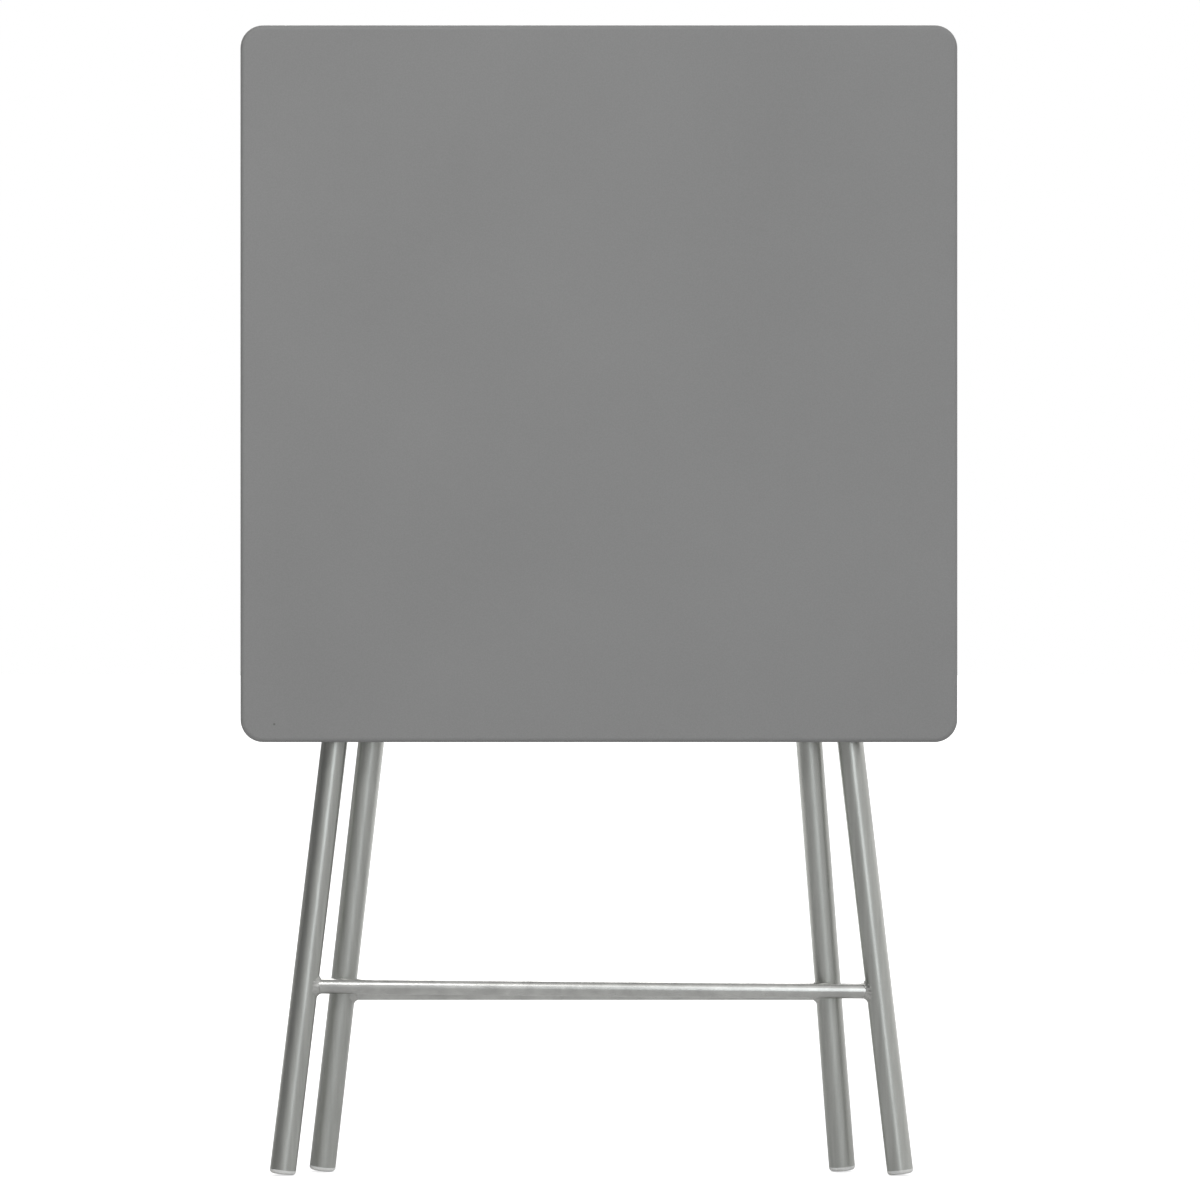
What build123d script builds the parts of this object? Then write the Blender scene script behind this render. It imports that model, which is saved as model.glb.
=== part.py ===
from build123d import *
import math
import os

# A square card table folded flat and standing upright: a board hung in front of two
# crossed frames of round tube. +X is to the right, +Y away from the board's show face.

# Board, in millimetres
board_width = 600
board_depth = 600
board_thickness = 16
board_corner_radius = 19
board_face_edge_radius = 4
board_back_edge_radius = 1.5
hinge_inset = 83          # hinge rail to the board's near edge, the upper one when folded
catch_inset = 28.34       # inner rail to the board's far edge when open

# Leg frames, each one tube bent twice; lengths lie in the frame's own plane
tube_diameter = 22
tube_wall = 1.5
bend_radius = 40
foot_to_pivot = 482
pivot_to_rail = 399
frame_lean_angle = 1.8    # degrees from upright when folded

# Where each leg meets the floor and how far it leans inwards, in degrees
outer_foot_left = 266.1
outer_foot_right = 253.6
outer_left_splay_angle = 6.78
outer_right_splay_angle = 6.55
inner_foot_left = 234.3
inner_foot_right = 206.0
inner_left_splay_angle = 6.59
inner_right_splay_angle = 4.48

# Cross bars, heights above the floor
bar_diameter = 13
bar_wall = 1.2
outer_bar_left_height = 157.7
outer_bar_right_height = 153.3
inner_bar_left_height = 150.8
inner_bar_right_height = 150.8
weld_size = 2.2

# Foot plugs
foot_cap_height = 3.6
foot_cap_rounding = 2.6
foot_stem_length = 18
foot_stem_bore_radius = 5

# Pivot bolts
bolt_radius = 4
bolt_head_radius = 8
bolt_head_height = 4.5
bolt_head_rounding = 3
washer_radius = 8
washer_thickness = 1.5
nut_across_flats = 13
nut_height = 6.5
bolt_end_past_nut = 2

# Plastic fittings
sleeve_wall = 1.2
sleeve_length = 24
sleeve_spacing = 90
liner_wall = 1.9
liner_length = 20
liner_start_angle = 8     # degrees past straight up, towards the board
liner_end_angle = 50
fitting_flange_length = 28
fitting_flange_thickness = 4
catch_width = 24
catch_wall = 5
catch_lip_drop = 7
catch_lead_in = 8

# Steel hinges: a hook over the rail, pinned to a leaf screwed under the board
hook_spacing = 170
hook_width = 24
hook_wall = 5.5
hook_lip_drop = 4
hook_arm_gap = 1.8
hook_plate_thickness = 4
hook_board_gap = 0.3
pin_run = -50             # hinge pin past the rail, towards the near edge
pin_radius = 2.5
pin_end = 1
knuckle_radius = 6
knuckle_board_gap = 1
knuckle_gap = 0.3
tongue_width = 10
tongue_length = 6.5
leaf_length = 22
leaf_thickness = 3

# Screws and bumpers
screw_head_radius = 3.6
screw_head_height = 2.2
screw_radius = 1.7
screw_bite = 10
screw_spacing = 13
bumper_radius = 9
bumper_tip_radius = 7.5
bumper_from_far_edge = 22
bumper_screw_depth = 4

# Clearances
running_clearance = 0.05
sleeve_clearance = 0.06
liner_clearance = 0.3
soft_clearance = 0.3
side_clearance = 0.2
cut_overrun = 30

# Values worked out from the sizes above
tube_radius = tube_diameter / 2
bar_radius = bar_diameter / 2
bore_radius = tube_radius - tube_wall
lean = math.radians(frame_lean_angle)
pivot_z = foot_to_pivot * math.cos(lean)
rail_y = pivot_to_rail * math.sin(lean)
rail_z = pivot_z + pivot_to_rail * math.cos(lean)
sleeve_radius = tube_radius + sleeve_clearance + sleeve_wall
board_back_y = -(rail_y + sleeve_radius + soft_clearance)
board_front_y = board_back_y - board_thickness
board_top_z = rail_z + hinge_inset
board_bottom_z = board_top_z - board_depth
hinge_height = rail_y - board_back_y
rail_gap = 2 * rail_y
open_rail_gap = board_depth - hinge_inset - catch_inset
open_angle = math.asin(open_rail_gap / (2 * pivot_to_rail))
frame_spread_angle = math.degrees(open_angle) - frame_lean_angle
hook_seat_radius = tube_radius + liner_clearance + liner_wall + running_clearance
pin_drop = knuckle_radius + knuckle_board_gap - hinge_height


def leg_x(foot, splay, height):
    """Distance of a leg's centre line from the middle plane, at a height above its foot."""
    return foot - height * math.tan(math.radians(splay))


def group(shapes):
    """Separate solids kept together as one node."""
    return Compound([solid for shape in shapes for solid in shape.solids()])


def in_frame(shape, angle):
    """Place a shape drawn about the pivot, upright, in a frame that leans by the angle."""
    return Pos(0, 0, pivot_z) * Rot(angle, 0, 0) * shape


def frame_path(foot_left, foot_right, splay_left, splay_right):
    """Centre line of one frame: up one leg, along the rail and down the other leg."""
    foot_height = foot_cap_height
    rail_height = foot_to_pivot + pivot_to_rail
    points = [
        (-leg_x(foot_left, splay_left, foot_height), 0, foot_height - foot_to_pivot),
        (-leg_x(foot_left, splay_left, rail_height), 0, pivot_to_rail),
        (leg_x(foot_right, splay_right, rail_height), 0, pivot_to_rail),
        (leg_x(foot_right, splay_right, foot_height), 0, foot_height - foot_to_pivot),
    ]
    return FilletPolyline(*points, radius=bend_radius)


def swept(path, profile):
    """Carry a flat profile along a path from its first end."""
    return sweep(Plane(origin=path @ 0, z_dir=path % 0) * profile, path=path)


def rod(start, end, radius):
    """Solid round bar between two points."""
    run = Vector(*end) - Vector(*start)
    return Plane(origin=start, z_dir=run) * Cylinder(
        radius, run.length, align=(Align.CENTER, Align.CENTER, Align.MIN)
    )


def turned(x, radius, length, towards):
    """Round piece on the pivot axis, from x, running towards +X or -X."""
    centre = x + towards * length / 2
    return Pos(centre, 0, pivot_z) * Rot(0, 90, 0) * Cylinder(radius, length)


def foot_plug(end_plane):
    """Plug with a rounded cap below the tube's end and a hollow stem inside it."""
    cap = Cylinder(tube_radius, foot_cap_height, align=(Align.CENTER, Align.CENTER, Align.MAX))
    cap = fillet(cap.edges().sort_by(Axis.Z)[0], foot_cap_rounding)
    stem = Cylinder(
        bore_radius - running_clearance,
        foot_stem_length,
        align=(Align.CENTER, Align.CENTER, Align.MIN),
    )
    hollow = Cylinder(
        foot_stem_bore_radius, foot_stem_length, align=(Align.CENTER, Align.CENTER, Align.MIN)
    )
    return end_plane * (cap + stem - hollow)


def leg_frame(name, feet, splays, bar_heights, angle):
    """One frame: bent tube, cross bar, weld beads and two foot plugs."""
    path = frame_path(*feet, *splays)
    core = swept(path, Circle(tube_radius))
    tube = swept(path, Circle(tube_radius) - Circle(bore_radius))
    for side, foot, splay in zip((-1, 1), feet, splays):
        bolt_hole = Cylinder(bolt_radius + running_clearance, tube_diameter * 2)
        x = side * leg_x(foot, splay, foot_to_pivot)
        tube -= Pos(x, 0, 0) * Rot(0, 90, 0) * bolt_hole

    bar_ends = [
        (side * leg_x(foot, splay, height), 0, height - foot_to_pivot)
        for side, foot, splay, height in zip((-1, 1), feet, splays, bar_heights)
    ]
    bar_core = rod(*bar_ends, bar_radius)
    bar = bar_core - rod(*bar_ends, bar_radius - bar_wall) - core
    thick_leg = swept(path, Circle(tube_radius + weld_size))
    thick_bar = rod(*bar_ends, bar_radius + weld_size)
    beads = (thick_bar & thick_leg) - core - bar_core

    left_end = Plane(origin=path @ 0, z_dir=path % 0)
    right_end = Plane(origin=path @ 1, z_dir=-(path % 1))
    shapes = {
        f"{name}_leg_tube": tube,
        f"{name}_cross_bar": bar,
        f"{name}_bar_welds": beads,
        f"{name}_left_foot": foot_plug(left_end),
        f"{name}_right_foot": foot_plug(right_end),
    }
    return {node: in_frame(shape, angle) for node, shape in shapes.items()}


def washer_reach(splay):
    """Distance from a leaning tube's centre to a flat washer beside it, along the bolt."""
    slope = math.radians(splay)
    return tube_radius / math.cos(slope) + washer_radius * math.tan(slope) + side_clearance


def pivot_set(side, outer_foot, outer_splay, inner_foot, inner_splay):
    """Bolt, washers, spacer and nut that join the two frames on one side."""
    name = "left" if side < 0 else "right"
    outer_x = leg_x(outer_foot, outer_splay, foot_to_pivot)
    inner_x = leg_x(inner_foot, inner_splay, foot_to_pivot)
    head_washer_x = outer_x + washer_reach(outer_splay)
    head_x = head_washer_x + washer_thickness
    spacer_x = outer_x - washer_reach(outer_splay)
    spacer_length = spacer_x - inner_x - washer_reach(inner_splay)
    nut_washer_x = inner_x - washer_reach(inner_splay)
    nut_x = nut_washer_x - washer_thickness
    bolt_end_x = nut_x - nut_height - bolt_end_past_nut

    head = turned(side * head_x, bolt_head_radius, bolt_head_height, side)
    rim = head.edges().filter_by(GeomType.CIRCLE).sort_by(Axis.X)[-1 if side > 0 else 0]
    head = fillet(rim, bolt_head_rounding)
    shank = turned(side * head_x, bolt_radius, head_x - bolt_end_x, -side)
    bore = turned(
        side * head_x, bolt_radius + running_clearance, head_x - bolt_end_x + cut_overrun, -side
    )

    head_washer = turned(side * head_washer_x, washer_radius, washer_thickness, side)
    nut_washer = turned(side * nut_washer_x, washer_radius, washer_thickness, -side)
    spacer = turned(side * spacer_x, washer_radius, spacer_length, -side)
    hexagon = RegularPolygon(nut_across_flats / 2, side_count=6, major_radius=False)
    nut = extrude(hexagon, nut_height / 2, both=True)
    nut = Pos(side * (nut_x - nut_height / 2), 0, pivot_z) * Rot(0, 90, 0) * nut
    return {
        f"pivot_bolt_{name}": head + shank,
        f"pivot_washers_{name}": group([head_washer - bore, nut_washer - bore]),
        f"pivot_spacer_{name}": spacer - bore,
        f"pivot_nut_{name}": nut - bore,
    }


def below_board(run, drop):
    """Point in the board's side view, from its run past the hinge axis and its drop below it."""
    return (rail_y + drop, rail_z - run)


def side_profile(points, cuts, width, x):
    """Extrude a side-view outline across X, less round and straight cuts."""
    outline = make_face(Polyline(*[below_board(*point) for point in points], close=True))
    for cut in cuts:
        outline -= cut
    return Plane.YZ.offset(x - width / 2) * extrude(outline, width)


def hinge_pin(x, radius, length):
    """Round bar along the hinge pin's axis."""
    y, z = below_board(pin_run, pin_drop)
    return Pos(x, y, z) * Rot(0, 90, 0) * Cylinder(radius, length)


def hinge_hook(x):
    """Bracket that hooks over the outer frame's rail, with a middle knuckle at its near end."""
    arm_run = -(tube_radius + hook_arm_gap)
    back_run = -(hook_seat_radius + hook_wall)
    lip = hook_seat_radius + hook_wall / 2
    lip_turn = math.radians(liner_end_angle)
    lip_run = -lip * math.cos(lip_turn)
    lip_height = -lip * math.sin(lip_turn)
    plate_back = -hinge_height + hook_board_gap
    plate_face = plate_back + hook_plate_thickness
    tongue_start = pin_run + tongue_length
    points = [
        (tongue_start, plate_back),
        (arm_run, plate_back),
        (arm_run, lip_height - hook_lip_drop),
        (lip_run, lip_height),
        (0, 0),
        (back_run, hook_lip_drop),
        (back_run, plate_face),
        (tongue_start, plate_face),
    ]
    tongue = [
        (pin_run, plate_back),
        (arm_run, plate_back),
        (arm_run, plate_face),
        (pin_run, plate_face),
    ]
    seat = Pos(*below_board(0, 0)) * Circle(hook_seat_radius)
    hook = side_profile(points, [seat], hook_width, x)
    hook += side_profile(tongue, [], tongue_width, x)
    hook += hinge_pin(x, knuckle_radius, tongue_width)
    return hook - hinge_pin(x, pin_radius + running_clearance, hook_width)


def hinge_leaf(x):
    """Plate screwed under the board, with a knuckle on each side of the hook's own."""
    leaf_start = pin_run - knuckle_radius
    leaf_face = -hinge_height + leaf_thickness
    plate = [
        (leaf_start - leaf_length, -hinge_height),
        (leaf_start, -hinge_height),
        (leaf_start, leaf_face),
        (leaf_start - leaf_length, leaf_face),
    ]
    ear = [
        (leaf_start, -hinge_height),
        (pin_run, -hinge_height),
        (pin_run, leaf_face),
        (leaf_start, leaf_face),
    ]
    ear_width = (hook_width - tongue_width) / 2 - knuckle_gap
    leaf = side_profile(plate, [], hook_width, x)
    for side in (-1, 1):
        ear_x = x + side * (hook_width - ear_width) / 2
        leaf += side_profile(ear, [], ear_width, ear_x)
        leaf += hinge_pin(ear_x, knuckle_radius, ear_width)
    return leaf - hinge_pin(x, pin_radius + running_clearance, hook_width)


def rail_catch(x):
    """Bracket under the board's far side that the inner frame's rail slides into."""
    seat_radius = sleeve_radius + soft_clearance
    far_run = open_rail_gap + seat_radius + catch_wall
    lead_run = open_rail_gap - catch_lead_in
    flange_run = lead_run - fitting_flange_length
    flange_face = -hinge_height + fitting_flange_thickness
    points = [
        (flange_run, -hinge_height),
        (far_run, -hinge_height),
        (far_run, catch_lip_drop),
        (lead_run, catch_lip_drop),
        (lead_run, flange_face),
        (flange_run, flange_face),
    ]
    slope = math.degrees(math.atan2(rail_gap, open_rail_gap))
    seat = Circle(seat_radius)
    way_in = Rot(0, 0, slope) * Pos(0, cut_overrun / 2) * Rectangle(seat_radius * 2, cut_overrun)
    way_down = Pos(cut_overrun / 2, cut_overrun / 2 - seat_radius) * Rectangle(
        cut_overrun, cut_overrun
    )
    cuts = [Pos(*below_board(open_rail_gap, 0)) * shape for shape in (seat, way_in, way_down)]
    return side_profile(points, cuts, catch_width, x)


def hinge_liner(x):
    """Thin shell between the outer frame's rail and the hook's seat."""
    inner = tube_radius + liner_clearance
    sector = [(0, 0)]
    for angle in (liner_start_angle, (liner_start_angle + liner_end_angle) / 2, liner_end_angle):
        turn = math.radians(angle)
        sector.append((-tube_diameter * math.cos(turn), -tube_diameter * math.sin(turn)))
    wedge = make_face(Polyline(*[below_board(*point) for point in sector], close=True))
    ring = Pos(*below_board(0, 0)) * (Circle(inner + liner_wall) - Circle(inner))
    return Plane.YZ.offset(x - liner_length / 2) * extrude(ring & wedge, liner_length)


def rail_sleeve(x):
    """Closed ring that turns on the inner frame's rail."""
    ring = Circle(sleeve_radius) - Circle(tube_radius + sleeve_clearance)
    ring = Pos(-rail_y, rail_z) * ring
    return Plane.YZ.offset(x - sleeve_length / 2) * extrude(ring, sleeve_length)


def screw(x, z, seat_y):
    """Pan head screw driven into the board from behind, its head seated at seat_y."""
    reach = seat_y - board_back_y + screw_bite
    head = Cylinder(
        screw_head_radius, screw_head_height, align=(Align.CENTER, Align.CENTER, Align.MIN)
    )
    head = fillet(head.edges().sort_by(Axis.Z)[-1], screw_head_height / 2)
    shank = Cylinder(screw_radius, reach, align=(Align.CENTER, Align.CENTER, Align.MAX))
    return Pos(x, seat_y, z) * Rot(-90, 0, 0) * (head + shank)


def screw_hole(x, z):
    """Hole for a screw, through a fitting and as deep in the board as the screw bites."""
    depth = screw_bite + running_clearance
    hole = Cylinder(
        screw_radius + running_clearance,
        depth + cut_overrun,
        align=(Align.CENTER, Align.CENTER, Align.MIN),
    )
    return Pos(x, board_back_y - depth, z) * Rot(-90, 0, 0) * hole


def bumper(x, z, height):
    """Tapered rubber buffer with a sunk screw seat."""
    body = Cone(
        bumper_radius, bumper_tip_radius, height, align=(Align.CENTER, Align.CENTER, Align.MIN)
    )
    well = Pos(0, 0, bumper_screw_depth) * Cylinder(
        screw_head_radius + soft_clearance, height, align=(Align.CENTER, Align.CENTER, Align.MIN)
    )
    return Pos(x, board_back_y, z) * Rot(-90, 0, 0) * (body - well)


def build_board(holes):
    """Square board with rounded corners and an eased show face, less its screw holes."""
    slab = extrude(
        Plane.XZ * RectangleRounded(board_width, board_depth, board_corner_radius),
        board_thickness,
    )
    slab = Pos(0, board_back_y, (board_top_z + board_bottom_z) / 2) * slab
    slab = fillet(slab.faces().sort_by(Axis.Y)[0].edges(), board_face_edge_radius)
    slab = fillet(slab.faces().sort_by(Axis.Y)[-1].edges(), board_back_edge_radius)
    for hole in holes:
        slab -= hole
    return slab


def table_top():
    """Board with its hinge leaves, catches, bumpers and screws."""
    nodes = {}
    leaf_screws, catch_screws, bumper_screws, holes = [], [], [], []
    leaf_seat_y = board_back_y + leaf_thickness
    catch_seat_y = board_back_y + fitting_flange_thickness
    leaf_screw_z = rail_z - pin_run + knuckle_radius + leaf_length / 2
    catch_screw_z = rail_z - open_rail_gap + catch_lead_in + fitting_flange_length / 2
    for name, side in (("left", -1), ("right", 1)):
        leaf_x = side * hook_spacing / 2
        catch_x = side * sleeve_spacing / 2
        leaf = hinge_leaf(leaf_x)
        catch = rail_catch(catch_x)
        for offset in (-screw_spacing / 2, screw_spacing / 2):
            leaf_hole = screw_hole(leaf_x + offset, leaf_screw_z)
            catch_hole = screw_hole(catch_x + offset, catch_screw_z)
            leaf -= leaf_hole
            catch -= catch_hole
            holes += [leaf_hole, catch_hole]
            leaf_screws.append(screw(leaf_x + offset, leaf_screw_z, leaf_seat_y))
            catch_screws.append(screw(catch_x + offset, catch_screw_z, catch_seat_y))
        nodes[f"hinge_leaf_{name}"] = leaf
        nodes[f"hinge_pin_{name}"] = hinge_pin(leaf_x, pin_radius, hook_width + 2 * pin_end)
        nodes[f"rail_catch_{name}"] = catch

    bumper_z = board_bottom_z + bumper_from_far_edge
    leg_face_y = (bumper_z - pivot_z) * math.tan(lean) - tube_radius / math.cos(lean)
    bumper_height = leg_face_y - soft_clearance - board_back_y
    legs = (
        ("left", -1, outer_foot_left, outer_left_splay_angle),
        ("right", 1, outer_foot_right, outer_right_splay_angle),
    )
    for name, side, foot, splay in legs:
        x = side * leg_x(foot, splay, bumper_z)
        hole = screw_hole(x, bumper_z)
        nodes[f"bumper_{name}"] = bumper(x, bumper_z, bumper_height) - hole
        bumper_screws.append(screw(x, bumper_z, board_back_y + bumper_screw_depth))
        holes.append(hole)

    nodes["top_board"] = build_board(holes)
    nodes["leaf_screws"] = group(leaf_screws)
    nodes["catch_screws"] = group(catch_screws)
    nodes["bumper_screws"] = group(bumper_screws)
    return nodes


def build():
    """Every node by name, about the pivot's middle plane."""
    nodes = {}
    nodes.update(
        leg_frame(
            "outer",
            (outer_foot_left, outer_foot_right),
            (outer_left_splay_angle, outer_right_splay_angle),
            (outer_bar_left_height, outer_bar_right_height),
            -frame_lean_angle,
        )
    )
    nodes.update(
        leg_frame(
            "inner",
            (inner_foot_left, inner_foot_right),
            (inner_left_splay_angle, inner_right_splay_angle),
            (inner_bar_left_height, inner_bar_right_height),
            frame_lean_angle,
        )
    )
    nodes.update(
        pivot_set(-1, outer_foot_left, outer_left_splay_angle, inner_foot_left, inner_left_splay_angle)
    )
    nodes.update(
        pivot_set(1, outer_foot_right, outer_right_splay_angle, inner_foot_right, inner_right_splay_angle)
    )
    for name, side in (("left", -1), ("right", 1)):
        nodes[f"rail_sleeve_{name}"] = rail_sleeve(side * sleeve_spacing / 2)
        nodes[f"hinge_hook_{name}"] = hinge_hook(side * hook_spacing / 2)
        nodes[f"hinge_liner_{name}"] = hinge_liner(side * hook_spacing / 2)
    nodes.update(table_top())
    return nodes


def main():
    os.makedirs("parts", exist_ok=True)
    nodes = build()
    boxes = [shape.bounding_box(optimal=True) for shape in nodes.values()]
    front = min(box.min.Y for box in boxes)
    back = max(box.max.Y for box in boxes)
    floor = min(box.min.Z for box in boxes)
    shift = Pos(0, -(front + back) / 2, -floor)
    for name, shape in nodes.items():
        export_step(shift * shape, f"parts/{name}.step")

    # Axes in the part's own frame, in metres and radians
    offset = shift.position
    print("nodes", len(nodes))
    print("pivot y z", offset.Y / 1000, (pivot_z + offset.Z) / 1000)
    print("outer rail y z", (rail_y + offset.Y) / 1000, (rail_z + offset.Z) / 1000)
    print("inner rail y z", (offset.Y - rail_y) / 1000, (rail_z + offset.Z) / 1000)
    print("board front y, bottom z, top z", (board_front_y + offset.Y) / 1000,
          (board_bottom_z + offset.Z) / 1000, (board_top_z + offset.Z) / 1000)
    pin_y, pin_z = below_board(pin_run, pin_drop)
    print("hinge pin y z", (pin_y + offset.Y) / 1000, (pin_z + offset.Z) / 1000)
    travel = math.hypot(rail_gap, open_rail_gap)
    print("slide axis y z", -rail_gap / travel, open_rail_gap / travel, "travel", travel / 1000)
    print("sleeve ratio", (90 + frame_spread_angle) / frame_spread_angle)
    print("slide ratio", travel / 1000 / math.radians(frame_spread_angle))


main()
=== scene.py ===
import bmesh
import bpy
import math
import numpy as np
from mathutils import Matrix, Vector


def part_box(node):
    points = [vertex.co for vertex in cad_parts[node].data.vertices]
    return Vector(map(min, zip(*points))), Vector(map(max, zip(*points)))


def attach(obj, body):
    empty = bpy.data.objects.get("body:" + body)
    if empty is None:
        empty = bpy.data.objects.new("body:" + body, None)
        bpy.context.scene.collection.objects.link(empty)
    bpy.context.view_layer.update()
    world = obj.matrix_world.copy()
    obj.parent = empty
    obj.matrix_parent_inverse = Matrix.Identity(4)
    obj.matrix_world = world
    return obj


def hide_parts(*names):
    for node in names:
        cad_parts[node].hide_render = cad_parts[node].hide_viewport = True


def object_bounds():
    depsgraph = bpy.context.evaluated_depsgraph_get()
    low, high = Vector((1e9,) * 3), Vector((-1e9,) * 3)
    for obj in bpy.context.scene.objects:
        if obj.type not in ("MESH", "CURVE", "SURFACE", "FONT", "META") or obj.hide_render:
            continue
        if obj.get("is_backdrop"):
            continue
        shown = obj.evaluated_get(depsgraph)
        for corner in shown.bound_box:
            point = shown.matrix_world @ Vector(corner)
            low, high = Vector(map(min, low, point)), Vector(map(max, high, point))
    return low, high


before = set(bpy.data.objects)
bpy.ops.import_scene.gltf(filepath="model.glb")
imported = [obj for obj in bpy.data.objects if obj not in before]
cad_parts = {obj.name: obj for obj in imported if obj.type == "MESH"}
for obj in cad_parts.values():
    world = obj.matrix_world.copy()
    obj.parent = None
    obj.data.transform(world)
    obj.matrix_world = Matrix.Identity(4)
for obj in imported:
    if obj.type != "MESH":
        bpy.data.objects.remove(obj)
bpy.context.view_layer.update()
print("frame loaded:", len(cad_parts), "nodes")

scene = bpy.context.scene
scene.view_settings.view_transform = "Standard"
white = (1.0, 1.0, 1.0)
noiseEnds = (0.3, 0.7)         # noise values that most of a noise texture lies between


# Camera, at the height and distance that give the photograph's framing

cameraSet = {
    "imageSide": 1200,         # pixels
    "boardTopPixel": 24.8,
    "boardBottomPixel": 742.3,
    "boardMiddlePixel": 598.9,
    "distance": 4.5,           # metres, lens to the board's show face
    "sensor": 36.0,
}


def addCamera():
    low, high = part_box("top_board")
    boardPixels = cameraSet["boardBottomPixel"] - cameraSet["boardTopPixel"]
    metresPerPixel = (high[2] - low[2]) / boardPixels
    middle = cameraSet["imageSide"] / 2
    x = (middle - cameraSet["boardMiddlePixel"]) * metresPerPixel
    z = low[2] + (cameraSet["boardBottomPixel"] - middle) * metresPerPixel
    data = bpy.data.cameras.new("camera")
    data.sensor_width = cameraSet["sensor"]
    span = cameraSet["imageSide"] * metresPerPixel
    data.lens = cameraSet["sensor"] * cameraSet["distance"] / span
    camera = bpy.data.objects.new("camera", data)
    camera.location = (x, low[1] - cameraSet["distance"], z)
    camera.rotation_euler = (math.radians(90), 0, 0)
    scene.collection.objects.link(camera)
    scene.camera = camera
    print("camera at", [round(v, 4) for v in camera.location], "lens", round(data.lens, 1))


# Material nodes, a few words each

def newMaterial(name):
    material = bpy.data.materials.new(name)
    material.use_nodes = True
    shader = material.node_tree.nodes["Principled BSDF"]
    return material, material.node_tree, shader


def addNode(tree, kind, inputs=None, **settings):
    node = tree.nodes.new(kind)
    for key, value in settings.items():
        setattr(node, key, value)
    for key, value in (inputs or {}).items():
        if isinstance(value, bpy.types.NodeSocket):
            tree.links.new(value, node.inputs[key])
        else:
            node.inputs[key].default_value = value
    return node


def objectPoint(tree, scale=(1, 1, 1)):
    place = addNode(tree, "ShaderNodeTexCoord")
    mapping = addNode(tree, "ShaderNodeMapping", {"Vector": place.outputs["Object"], "Scale": scale})
    return mapping.outputs["Vector"]


def noise(tree, point, scale, detail=3.0, roughness=0.5):
    node = addNode(tree, "ShaderNodeTexNoise",
                   {"Vector": point, "Scale": scale, "Detail": detail, "Roughness": roughness})
    return node.outputs["Fac"]


def ramp(tree, factor, places, values):
    # the first value up to the first place, the second from the second place, a blend between
    node = addNode(tree, "ShaderNodeValToRGB", {"Fac": factor})
    for element, position, value in zip(node.color_ramp.elements, places, values):
        element.position = position
        element.color = (*value, 1) if isinstance(value, tuple) else (value, value, value, 1)
    return node.outputs["Color"]


def shaded(colour, share):
    return tuple(c * share for c in colour)


def shades(tree, factor, colour, shares, places=noiseEnds):
    # a noise as a run from a darker to a lighter share of one colour
    return ramp(tree, factor, places, [shaded(colour, share) for share in shares])


def mixColour(tree, factor, first, second, kind="MIX"):
    # a Mix node has one set of sockets for each data type: 6, 7 and 2 are its colours
    node = addNode(tree, "ShaderNodeMix", data_type="RGBA", blend_type=kind)
    sockets = {"Factor": node.inputs[0], "A": node.inputs[6], "B": node.inputs[7]}
    for key, value in (("Factor", factor), ("A", first), ("B", second)):
        if isinstance(value, bpy.types.NodeSocket):
            tree.links.new(value, sockets[key])
        else:
            sockets[key].default_value = value if key == "Factor" else (*value, 1)
    return node.outputs[2]


def spread(tree, factor, low, high):
    node = addNode(tree, "ShaderNodeMapRange", {"Value": factor, "To Min": low, "To Max": high})
    return node.outputs["Result"]


def bump(tree, shader, height, strength, distance):
    node = addNode(tree, "ShaderNodeBump",
                   {"Height": height, "Strength": strength, "Distance": distance})
    tree.links.new(node.outputs["Normal"], shader.inputs["Normal"])


# Board: grey laminate in front and round the edges, a duller paper backing behind

laminate = {
    "colour": (0.252, 0.251, 0.249),
    "cloudScale": 5.0,
    "cloud": 0.03,                      # share of the tone that the clouds shift
    "grain": 900.0,
    "grainPlaces": (0.35, 0.65),
    "grainShades": (0.965, 1.035),
    "rubs": (3, 3, 60),                 # noise scale of rubs across the board
    "rubScale": 4.0,
    "roughness": (0.50, 0.58),
    "gloss": 0.3,
    "bump": (0.12, 0.0002),             # strength, and depth in metres
    "backColour": (0.20, 0.20, 0.197),
    "backMottle": 160.0,
    "backShades": (0.9, 1.1),
    "backRoughness": 0.72,
    "backLip": 0.0004,                  # metres of laminate turned over the back edge
    "speckPlace": (-0.2715, 0.3797),    # x and z of the small dark speck, metres
    "speckRadius": 0.0012,
    "speckSolid": 0.5,                  # share of the radius inside which it doesn't fade
    "speckColour": (0.07, 0.07, 0.065),
    "speckShare": 0.6,
}


def laminateSpeck(tree, front):
    # the speck's colour in its middle, fading to the laminate's at its radius
    speckX, speckZ = laminate["speckPlace"]
    flat = addNode(tree, "ShaderNodeMapping", {
        "Vector": addNode(tree, "ShaderNodeTexCoord").outputs["Object"],
        "Location": (-speckX, 0, -speckZ), "Scale": (1, 0, 1)})
    away = addNode(tree, "ShaderNodeVectorMath", {0: flat.outputs["Vector"]}, operation="LENGTH")
    radius = laminate["speckRadius"]
    speck = addNode(tree, "ShaderNodeMapRange", {
        "Value": away.outputs["Value"], "From Min": radius * laminate["speckSolid"], "From Max": radius,
        "To Min": laminate["speckShare"], "To Max": 0.0})
    return mixColour(tree, speck.outputs["Result"], front, laminate["speckColour"])


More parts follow.
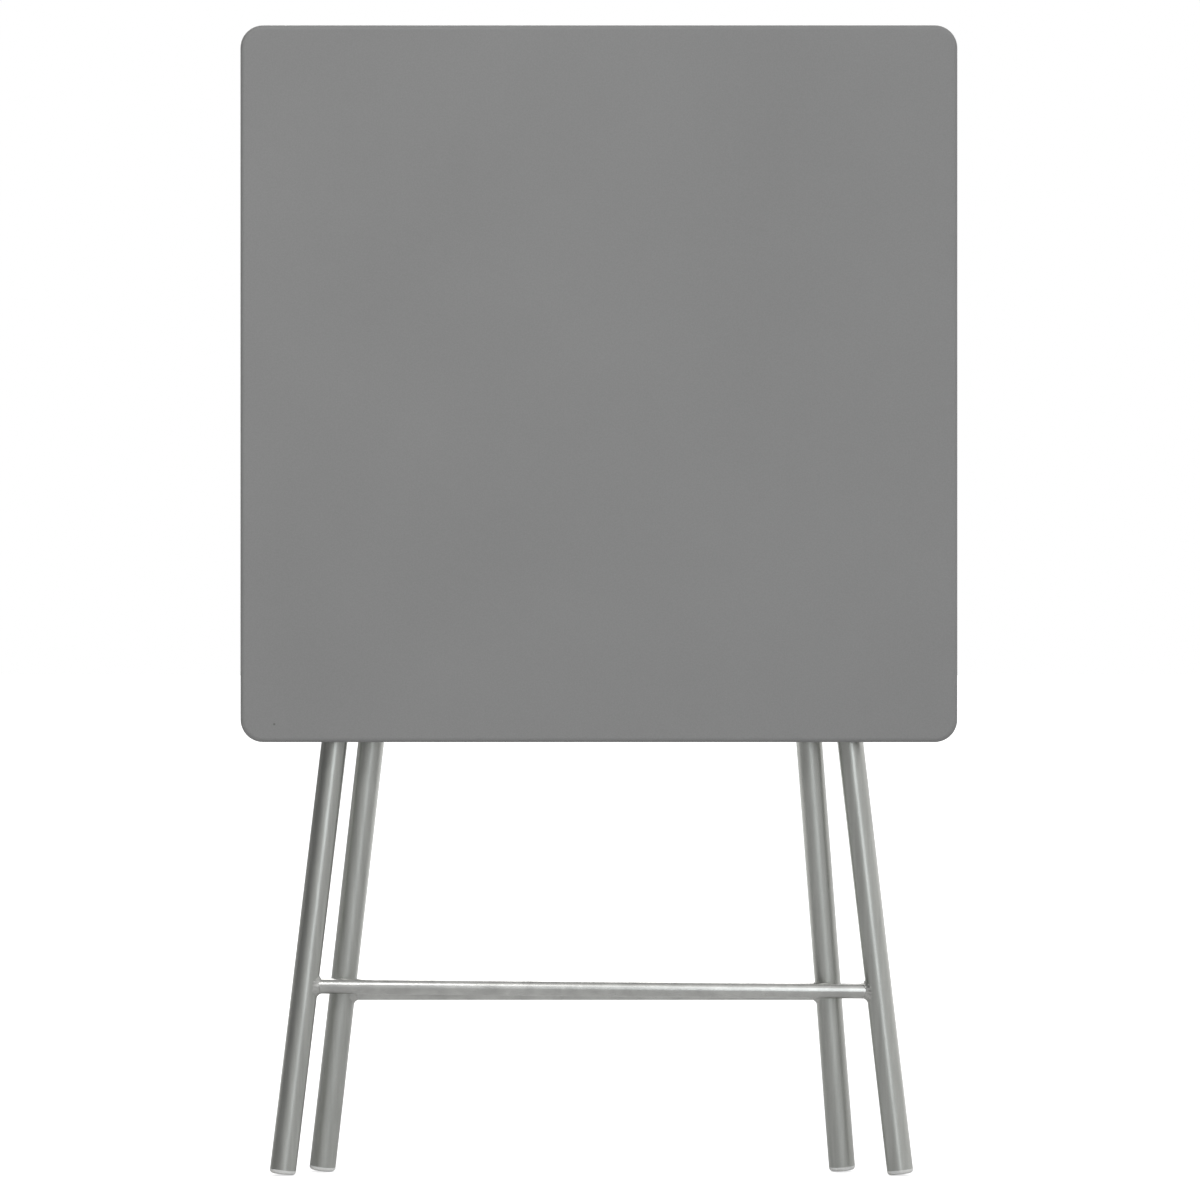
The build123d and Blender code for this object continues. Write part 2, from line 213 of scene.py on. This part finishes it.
def boardLaminate():
    material, tree, shader = newMaterial("boardLaminate")
    point = objectPoint(tree)
    clouds = noise(tree, point, laminate["cloudScale"], detail=4)
    grain = noise(tree, point, laminate["grain"], detail=2)
    cloudShades = (1 - laminate["cloud"], 1 + laminate["cloud"])
    clouded = shades(tree, clouds, laminate["colour"], cloudShades)
    fine = ramp(tree, grain, laminate["grainPlaces"], laminate["grainShades"])
    front = laminateSpeck(tree, mixColour(tree, 1.0, clouded, fine, "MULTIPLY"))

    mottle = noise(tree, point, laminate["backMottle"], detail=5, roughness=0.65)
    back = shades(tree, mottle, laminate["backColour"], laminate["backShades"])
    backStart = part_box("top_board")[1][1] - laminate["backLip"]
    place = addNode(tree, "ShaderNodeSeparateXYZ", {"Vector": point})
    behind = addNode(tree, "ShaderNodeMath", {0: place.outputs["Y"], 1: backStart},
                     operation="GREATER_THAN").outputs[0]
    tree.links.new(mixColour(tree, behind, front, back), shader.inputs["Base Color"])

    rubs = noise(tree, objectPoint(tree, laminate["rubs"]), laminate["rubScale"], detail=6, roughness=0.7)
    smooth = spread(tree, rubs, *laminate["roughness"])
    rough = addNode(tree, "ShaderNodeMapRange", {
        "Value": behind, "To Min": smooth, "To Max": laminate["backRoughness"]})
    tree.links.new(rough.outputs["Result"], shader.inputs["Roughness"])
    shader.inputs["Specular IOR Level"].default_value = laminate["gloss"]
    bump(tree, shader, grain, *laminate["bump"])
    return material


# Leg tubes: satin silver coat with drawn lines, metal flake, long scuffs and dull spots

silverCoat = {
    "colour": (0.50, 0.507, 0.482),
    "metallic": 0.92,
    "roughness": (0.29, 0.37),
    "lines": (240, 240, 5),        # noise scale of the lines drawn along the tube
    "lineShades": (0.90, 1.07),
    "flake": 2600.0,
    "flakeShades": (0.92, 1.06),
    "scuffs": (75, 75, 6),
    "scuffScale": 5.0,
    "scuffPlaces": (0.66, 0.74),   # noise values between which a scuff fades in
    "scuffShade": 0.70,
    "spots": 75.0,
    "spotPlaces": (0.70, 0.78),
    "spotShade": 0.60,
    "wear": 0.8,                   # how fully a scuff or spot covers the coat
    "peel": 420.0,
    "peelBump": (0.10, 0.0003),
    "innerPaintedShade": 0.94,            # the inner frame's coat is darker, painted shade for its place further back, and duller
    "innerDuller": 0.07,
}


def tubeSilver(name, shade=1.0, duller=0.0):
    material, tree, shader = newMaterial(name)
    point = objectPoint(tree)
    # a shade below 1 darkens the whole coat: painted shade, used for the inner frame
    base = shaded(silverCoat["colour"], shade)
    lines = noise(tree, objectPoint(tree, silverCoat["lines"]), 1.0, detail=4, roughness=0.6)
    flake = noise(tree, point, silverCoat["flake"], detail=2, roughness=0.6)
    peel = noise(tree, point, silverCoat["peel"], detail=2)
    scuffPoint = objectPoint(tree, silverCoat["scuffs"])
    scuffs = noise(tree, scuffPoint, silverCoat["scuffScale"], detail=5, roughness=0.75)
    spots = noise(tree, point, silverCoat["spots"], detail=6, roughness=0.7)
    drawn = shades(tree, lines, base, silverCoat["lineShades"])
    flaked = ramp(tree, flake, noiseEnds, silverCoat["flakeShades"])
    tone = mixColour(tree, 1.0, drawn, flaked, "MULTIPLY")
    for kind, marks in (("scuff", scuffs), ("spot", spots)):
        cover = ramp(tree, marks, silverCoat[kind + "Places"], (0.0, silverCoat["wear"]))
        tone = mixColour(tree, cover, tone, shaded(base, silverCoat[kind + "Shade"]))
    tree.links.new(tone, shader.inputs["Base Color"])
    shader.inputs["Metallic"].default_value = silverCoat["metallic"]
    rough = [value + duller for value in silverCoat["roughness"]]
    tree.links.new(spread(tree, scuffs, *rough), shader.inputs["Roughness"])
    bump(tree, shader, peel, *silverCoat["peelBump"])
    return material


# Bars, hinges, bolts and screws: zinc plate with drawing lines and cloudy dull patches

zincPlate = {
    "colour": (0.60, 0.60, 0.58),
    "metallic": 0.95,
    "roughness": (0.23, 0.30),
    "lineScale": 6.0,
    "clouds": 55.0,
    "cloudPlaces": (0.32, 0.68),
    "cloudShades": (0.82, 1.08),
    "bump": (0.03, 0.0002),
    "barGrain": (4, 60, 60),       # noise scales, lowest along the drawing lines
    "hingeGrain": (20, 8, 60),
    "boltGrain": (60, 8, 8),
    "screwGrain": (20, 60, 20),
    "hingeShade": 0.8,
}


def brightZinc(name, grain, shade=1.0):
    material, tree, shader = newMaterial(name)
    lines = noise(tree, objectPoint(tree, grain), zincPlate["lineScale"], detail=4, roughness=0.6)
    clouds = noise(tree, objectPoint(tree), zincPlate["clouds"], detail=5, roughness=0.6)
    base = shaded(zincPlate["colour"], shade)
    tone = shades(tree, clouds, base, zincPlate["cloudShades"], zincPlate["cloudPlaces"])
    tree.links.new(tone, shader.inputs["Base Color"])
    shader.inputs["Metallic"].default_value = zincPlate["metallic"]
    tree.links.new(spread(tree, lines, *zincPlate["roughness"]), shader.inputs["Roughness"])
    bump(tree, shader, lines, *zincPlate["bump"])
    return material


# Weld beads: slightly pitted metal, a little duller in its hollows

weldCoat = {
    "hollow": (0.45, 0.45, 0.43),
    "crown": (0.60, 0.60, 0.58),
    "metallic": 0.9,
    "roughness": (0.30, 0.42),
    "pits": 900.0,
    "bump": (0.25, 0.0004),
}


def weldMetal():
    material, tree, shader = newMaterial("weldMetal")
    pits = noise(tree, objectPoint(tree), weldCoat["pits"], detail=4, roughness=0.7)
    tone = ramp(tree, pits, noiseEnds, (weldCoat["hollow"], weldCoat["crown"]))
    tree.links.new(tone, shader.inputs["Base Color"])
    shader.inputs["Metallic"].default_value = weldCoat["metallic"]
    tree.links.new(spread(tree, pits, *weldCoat["roughness"]), shader.inputs["Roughness"])
    bump(tree, shader, pits, *weldCoat["bump"])
    return material


# Plastic and rubber pieces: fine moulded grain and faint flow clouds

moulding = {
    "grainScale": 1800.0,
    "grainDepth": 0.0002,
    "clouds": 90.0,
    "cloudShades": (0.93, 1.05),
    "scatterScale": 0.004,         # metres that light travels inside the milky plugs
    "scatterRadius": (1.0, 0.95, 0.9),
}

plastics = {
    "footPlastic": {"colour": (0.78, 0.78, 0.76), "roughness": (0.28, 0.4), "grain": 0.1, "milky": 0.3},
    "nylon": {"colour": (0.66, 0.65, 0.61), "roughness": (0.35, 0.48), "grain": 0.18, "milky": 0},
    "bracketBlack": {"colour": (0.028, 0.028, 0.03), "roughness": (0.4, 0.55), "grain": 0.18, "milky": 0},
    "bumperRubber": {"colour": (0.022, 0.022, 0.022), "roughness": (0.7, 0.85), "grain": 0.3, "milky": 0},
}


def mouldedPlastic(name):
    plastic = plastics[name]
    material, tree, shader = newMaterial(name)
    point = objectPoint(tree)
    fine = noise(tree, point, moulding["grainScale"], detail=2)
    clouds = noise(tree, point, moulding["clouds"], detail=3)
    tone = shades(tree, clouds, plastic["colour"], moulding["cloudShades"])
    tree.links.new(tone, shader.inputs["Base Color"])
    tree.links.new(spread(tree, fine, *plastic["roughness"]), shader.inputs["Roughness"])
    if plastic["milky"]:
        shader.inputs["Subsurface Weight"].default_value = plastic["milky"]
        shader.inputs["Subsurface Scale"].default_value = moulding["scatterScale"]
        shader.inputs["Subsurface Radius"].default_value = moulding["scatterRadius"]
    bump(tree, shader, fine, plastic["grain"], moulding["grainDepth"])
    return material


# Surfaces worked out on a grid

def gridPiece(name, points, material, body, ringsClosed=False, caps=True):
    # points is an array of rings by points by xyz; each ring is joined to the next
    rings, around, _ = points.shape
    ringIndex, pointIndex = np.meshgrid(
        np.arange(rings if ringsClosed else rings - 1), np.arange(around), indexing="ij")
    nextRing = (ringIndex + 1) % rings
    nextPoint = (pointIndex + 1) % around
    quads = np.stack([
        ringIndex * around + pointIndex,
        ringIndex * around + nextPoint,
        nextRing * around + nextPoint,
        nextRing * around + pointIndex,
    ], axis=-1)
    faces = quads.reshape(-1, 4).tolist()
    if caps:
        faces.append(list(range(around))[::-1])
        faces.append(list(range((rings - 1) * around, rings * around)))
    mesh = bpy.data.meshes.new(name)
    mesh.from_pydata(points.reshape(-1, 3).tolist(), [], faces)
    mesh.update()
    mesh.materials.append(material)
    piece = bpy.data.objects.new(name, mesh)
    scene.collection.objects.link(piece)
    turnOutwards(piece)
    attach(piece, body)
    return piece


def turnOutwards(piece):
    shell = bmesh.new()
    shell.from_mesh(piece.data)
    bmesh.ops.recalc_face_normals(shell, faces=shell.faces)
    shell.to_mesh(piece.data)
    shell.free()
    piece.data.shade_smooth()


def meshPoints(node):
    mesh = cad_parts[node].data
    values = np.empty(len(mesh.vertices) * 3)
    mesh.vertices.foreach_get("co", values)
    return values.reshape(-1, 3)


# Weld beads at the bar ends

weld = {
    "tubeRadius": 0.011,
    "barRadius": 0.0065,
    "reach": 0.0030,          # along the bar and up the leg, metres
    "uneven": 0.16,           # share by which the reach varies round the bar
    "unevenWaves": (2, 5),
    "secondWave": 0.6,
    "hollow": 0.62,           # how far the face sinks towards the corner
    "sunk": 0.00005,          # edges let into the bar and the leg
    "ripples": 16,
    "rippleRise": 0.00013,
    "rippleTwist": 2.5,
    "rippleWander": 3,
    "root": 0.0008,           # depth of the hidden edge inside the metal
    "seedStep": 1.3,
    "around": 128,
    "across": 10,
}


def legLine(tube, side):
    # two points on a leg's centre line: its lower end and the middle of its bolt hole
    points = meshPoints(tube)
    points = points[points[:, 0] * side > 0]
    foot = points[points[:, 2] < points[:, 2].min() + weld["tubeRadius"]]
    boltLow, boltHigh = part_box("pivot_bolt_left")
    pivotHeight = (boltLow[2] + boltHigh[2]) / 2
    hole = points[np.abs(points[:, 2] - pivotHeight) < weld["barRadius"]]
    return [(ring.min(axis=0) + ring.max(axis=0)) / 2 for ring in (foot, hole)]


def unit(vector):
    return vector / np.linalg.norm(vector)


def weldBead(corner, bar, leg, seed):
    # round the bar by across the bead: at each angle the bar's surface meets the leg's at a
    # corner, found from a quadratic; the face is a hollow curve from a point further along
    # the bar to a point further up the leg, with small ripples, closed by a root in the metal
    turn = np.linspace(0, 2 * math.pi, weld["around"], endpoint=False)
    up = unit(leg - leg.dot(bar) * bar)
    out = np.cos(turn)[:, None] * up + np.sin(turn)[:, None] * np.cross(bar, up)

    def onLeg(radius):
        across = radius * out
        p = across - across.dot(leg)[:, None] * leg
        q = bar - bar.dot(leg) * leg
        half = p.dot(q)
        root = np.sqrt(half ** 2 - q.dot(q) * ((p ** 2).sum(axis=1) - weld["tubeRadius"] ** 2))
        return corner + across + ((root - half) / q.dot(q))[:, None] * bar

    slow, quick = weld["unevenWaves"]
    waves = np.sin(slow * turn + seed) + weld["secondWave"] * np.sin(quick * turn - 2 * seed)
    reach = weld["reach"] * (1 + weld["uneven"] * waves)
    inner = onLeg(np.full_like(turn, weld["barRadius"])[:, None])
    start = inner + reach[:, None] * bar - weld["sunk"] * out
    end = onLeg((weld["barRadius"] + reach)[:, None]) - weld["sunk"] * bar
    control = weld["hollow"] * inner + (1 - weld["hollow"]) * (start + end) / 2
    share = np.linspace(0, 1, weld["across"])[None, :]
    alongCurve = share[..., None]
    face = (1 - alongCurve) ** 2 * start[:, None] + alongCurve ** 2 * end[:, None]
    face = face + 2 * alongCurve * (1 - alongCurve) * control[:, None]
    facing = (out + bar) / math.sqrt(2)
    wander = np.sin(weld["rippleWander"] * turn + seed)[:, None]
    ripple = np.sin(weld["ripples"] * turn[:, None] + weld["rippleTwist"] * share + wander)
    rise = weld["rippleRise"] * ripple * np.sin(math.pi * share)
    face = face + rise[..., None] * facing[:, None]
    hidden = inner[:, None] - weld["root"] * facing[:, None]
    return np.concatenate([face, hidden], axis=1)


def addWelds(name, body, material):
    low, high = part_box(f"{name}_cross_bar")
    heights = {-1: high[2] - weld["barRadius"], 1: low[2] + weld["barRadius"]}
    lines = {side: legLine(f"{name}_leg_tube", side) for side in (-1, 1)}
    corners = {}
    for side, (foot, pivot) in lines.items():
        rise = (heights[side] - foot[2]) / (pivot[2] - foot[2])
        corners[side] = foot + rise * (pivot - foot)
    for side, label in ((-1, "left"), (1, "right")):
        bar = unit(corners[-side] - corners[side])
        leg = unit(lines[side][1] - lines[side][0])
        points = weldBead(corners[side], bar, leg, weld["seedStep"] * side + len(name))
        piece = gridPiece(f"{name}_weld_{label}", points, material, body, ringsClosed=True, caps=False)
        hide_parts(f"{name}_bar_welds")
    print(name, "welds ready")


# Screw heads with a cross recess

screwHead = {
    "radius": 0.0036,
    "height": 0.0022,
    "domeDrop": 0.85,
    "recessDepth": 0.0013,
    "recessWidth": 0.00045,   # half the width of one arm
    "recessReach": 0.0019,    # length of one arm
    "sideSlope": 0.0002,      # metres over which the recess comes up at its sides and ends
    "endSlope": 0.0003,
    "centreShare": 0.02,      # radius of the innermost ring
    "around": 72,
    "rings": 26,
}


def screwCentres(node):
    # splits the node's points wherever two neighbours in x are more than a head's radius apart
    points = meshPoints(node)
    points = points[np.argsort(points[:, 0])]
    cuts = np.nonzero(np.diff(points[:, 0]) > screwHead["radius"])[0] + 1
    centres = []
    for group in np.split(points, cuts):
        middle = (group.min(axis=0) + group.max(axis=0)) / 2
        centres.append((middle[0], group[:, 1].max(), middle[2]))
    return centres


def crossHead(centre):
    # rings by points: height over the seat is a low dome, less a cross whose depth fades
    # smoothly at its sides and ends; the last rings go straight down to the seat
    x, top, z = centre
    seat = top - screwHead["height"]
    reach = np.linspace(screwHead["centreShare"], 1.0, screwHead["rings"]) * screwHead["radius"]
    turn = np.linspace(0, 2 * math.pi, screwHead["around"], endpoint=False)
    r, t = np.meshgrid(reach, turn, indexing="ij")
    across, up = r * np.cos(t), r * np.sin(t)
    share = r / screwHead["radius"]
    dome = screwHead["height"] * np.sqrt(np.clip(1 - screwHead["domeDrop"] * share ** 3, 0, 1))

    def arm(width, length):
        side = (screwHead["recessWidth"] - np.abs(width)) / screwHead["sideSlope"] + 0.5
        end = (screwHead["recessReach"] - np.abs(length)) / screwHead["endSlope"] + 0.5
        return np.clip(side, 0, 1) * np.clip(end, 0, 1)

    cross = np.maximum(arm(across, up), arm(up, across))
    height = dome - screwHead["recessDepth"] * cross
    points = np.stack([x + across, seat + height, z + up], axis=-1)
    skirt = points[-1:].copy()
    skirt[..., 1] = seat
    return np.concatenate([points, skirt])


def addScrews(node, body, material):
    centres = screwCentres(node)
    for index, centre in enumerate(centres):
        head = gridPiece(f"{node}_head_{index + 1}", crossHead(centre), material, body)
        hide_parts(node)
    print(node, len(centres), "heads")


# Stage and light

stageSet = {
    "floorSide": 60.0,
    "floorTone": 0.62,
    "floorRoughness": 0.9,
    "floorDrop": 0.0003,          # metres below the feet
    "glowNear": 0.72,             # floor's own light by the table and far away, to the camera
    "glowFar": 1.0,
    "glowReach": (0.7, 2.2),      # metres from the table over which it changes
    "mirroredFloor": (0.3, 1.0),  # metres behind the table over which metal starts to show it
    "mirroredSky": (0.5, 0.95),   # the same for the surroundings, by direction
    "skyTurn": 28,                # degrees that their bright part is turned to the right
    "studioLeft": 0.06,           # strength of the surroundings, left and right of the camera
    "studioRight": 0.80,
    "studioSpan": (-0.72, 0.16),  # direction's x between which it changes
}


def backdropSeen(tree, depth, start, end):
    # 1 for rays that should meet the white background: the camera's own, rays through
    # glass, and reflections of what lies behind the table
    path = addNode(tree, "ShaderNodeLightPath")
    direct = addNode(tree, "ShaderNodeMath", {
        0: path.outputs["Is Camera Ray"], 1: path.outputs["Is Transmission Ray"]}, operation="MAXIMUM")
    behind = addNode(tree, "ShaderNodeMapRange", {"Value": depth, "From Min": start, "From Max": end})
    mirrored = addNode(tree, "ShaderNodeMath", {
        0: path.outputs["Is Glossy Ray"], 1: behind.outputs["Result"]}, operation="MULTIPLY")
    both = addNode(tree, "ShaderNodeMath", {
        0: direct.outputs[0], 1: mirrored.outputs[0]}, operation="MAXIMUM")
    return both.outputs[0]


def floorPaper():
    # pale paper whose own light, to the camera, rises with the distance from the table
    material, tree, shader = newMaterial("floorPaper")
    shader.inputs["Base Color"].default_value = (*shaded(white, stageSet["floorTone"]), 1)
    shader.inputs["Roughness"].default_value = stageSet["floorRoughness"]
    shader.inputs["Specular IOR Level"].default_value = 0.0
    place = addNode(tree, "ShaderNodeTexCoord").outputs["Object"]
    depth = addNode(tree, "ShaderNodeSeparateXYZ", {"Vector": place}).outputs["Y"]
    away = addNode(tree, "ShaderNodeVectorMath", {0: place}, operation="LENGTH").outputs["Value"]
    near, far = stageSet["glowReach"]
    glow = addNode(tree, "ShaderNodeMapRange", {
        "Value": away, "From Min": near, "From Max": far,
        "To Min": stageSet["glowNear"], "To Max": stageSet["glowFar"]})
    seen = backdropSeen(tree, depth, *stageSet["mirroredFloor"])
    strength = addNode(tree, "ShaderNodeMath", {0: glow.outputs["Result"], 1: seen}, operation="MULTIPLY")
    shine = addNode(tree, "ShaderNodeEmission", {"Color": (*white, 1), "Strength": strength.outputs[0]})
    both = addNode(tree, "ShaderNodeAddShader", {0: shader.outputs[0], 1: shine.outputs[0]})
    tree.links.new(both.outputs[0], tree.nodes["Material Output"].inputs["Surface"])
    return material


def addFloor():
    mesh = bpy.data.meshes.new("floor")
    half = stageSet["floorSide"] / 2
    corners = [(-half, -half, 0), (half, -half, 0), (half, half, 0), (-half, half, 0)]
    mesh.from_pydata(corners, [], [(0, 1, 2, 3)])
    floor = bpy.data.objects.new("floor", mesh)
    floor.location.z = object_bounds()[0][2] - stageSet["floorDrop"]
    scene.collection.objects.link(floor)
    mesh.materials.append(floorPaper())
    floor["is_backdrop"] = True
    print("floor ready")


def addStudio():
    # white to the camera; to the object, dim on the left and brighter on the right
    world = bpy.data.worlds.new("world")
    scene.world = world
    world.use_nodes = True
    tree = world.node_tree
    background = tree.nodes["Background"]
    way = addNode(tree, "ShaderNodeTexCoord").outputs["Generated"]
    parts = addNode(tree, "ShaderNodeSeparateXYZ", {"Vector": way})
    turn = math.radians(stageSet["skyTurn"])
    facing = addNode(tree, "ShaderNodeVectorMath", {
        0: way, 1: (math.sin(turn), math.cos(turn), 0)}, operation="DOT_PRODUCT")
    left, right = stageSet["studioSpan"]
    studio = addNode(tree, "ShaderNodeMapRange", {
        "Value": parts.outputs["X"], "From Min": left, "From Max": right,
        "To Min": stageSet["studioLeft"], "To Max": stageSet["studioRight"]})
    strength = addNode(tree, "ShaderNodeMapRange", {
        "Value": backdropSeen(tree, facing.outputs["Value"], *stageSet["mirroredSky"]),
        "To Min": studio.outputs["Result"], "To Max": 1.0})
    background.inputs["Color"].default_value = (*white, 1)
    tree.links.new(strength.outputs["Result"], background.inputs["Strength"])
    print("studio ready")


lamps = {
    "key": {"azimuth": -20, "elevation": 40, "distance": 4.0, "size": (0.85, 0.85),
            "power": 48, "tint": white},
    "strip": {"azimuth": 12, "elevation": 8, "distance": 2.1, "size": (0.65, 1.9),
              "power": 5.4, "tint": (0.90, 0.96, 1.0)},
    "fillBack": {"azimuth": 196, "elevation": 38, "distance": 3.2, "size": (2.0, 2.0),
                 "power": 36, "tint": white},
}


def addLamps():
    # azimuth in degrees from the camera's side towards the right, elevation above the middle
    low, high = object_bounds()
    centre = (low + high) / 2
    for name, lamp in lamps.items():
        data = bpy.data.lights.new(name, "AREA")
        data.shape = "RECTANGLE"
        data.size, data.size_y = lamp["size"]
        data.energy = lamp["power"]
        data.color = lamp["tint"]
        turn, rise = math.radians(lamp["azimuth"]), math.radians(lamp["elevation"])
        away = Vector((math.sin(turn) * math.cos(rise), -math.cos(turn) * math.cos(rise), math.sin(rise)))
        light = bpy.data.objects.new(name, data)
        light.location = centre + away * lamp["distance"]
        light.rotation_euler = (-away).to_track_quat("-Z", "Y").to_euler()
        light.visible_camera = False
        scene.collection.objects.link(light)
    print("lamps ready:", len(lamps))


# Dressing the frame

def dress(material, *names):
    for name in names:
        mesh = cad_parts[name].data
        mesh.materials.clear()
        mesh.materials.append(material)


def bothSides(*pieces):
    return [f"{piece}_{side}" for piece in pieces for side in ("left", "right")]


def dressFrame():
    dress(boardLaminate(), "top_board")
    dress(tubeSilver("tubeSilverOuter"), "outer_leg_tube")
    # the inner frame's copy of the coat: darker as painted shade, and rougher
    inner = tubeSilver("tubeSilverInner", silverCoat["innerPaintedShade"], silverCoat["innerDuller"])
    dress(inner, "inner_leg_tube")
    dress(brightZinc("barZinc", zincPlate["barGrain"]), "outer_cross_bar", "inner_cross_bar")
    dress(mouldedPlastic("footPlastic"), *[leg + "_foot" for leg in bothSides("outer", "inner")])
    bearings = bothSides("pivot_washers", "pivot_spacer", "rail_sleeve", "hinge_liner")
    dress(mouldedPlastic("nylon"), *bearings)
    dress(mouldedPlastic("bracketBlack"), *bothSides("rail_catch"))
    dress(mouldedPlastic("bumperRubber"), *bothSides("bumper"))
    hinge = brightZinc("hingeZinc", zincPlate["hingeGrain"], zincPlate["hingeShade"])
    dress(hinge, *bothSides("hinge_hook", "hinge_leaf", "hinge_pin"))
    dress(brightZinc("boltZinc", zincPlate["boltGrain"]), *bothSides("pivot_bolt", "pivot_nut"))
    print("frame dressed")


def addPieces():
    bead = weldMetal()
    addWelds("outer", "outer_frame", bead)
    addWelds("inner", "inner_frame", bead)
    screwZinc = brightZinc("screwZinc", zincPlate["screwGrain"])
    for node in ("leaf_screws", "catch_screws", "bumper_screws"):
        addScrews(node, "table_top", screwZinc)
    print("pieces added")


addCamera()
addFloor()
addStudio()
addLamps()
dressFrame()
addPieces()
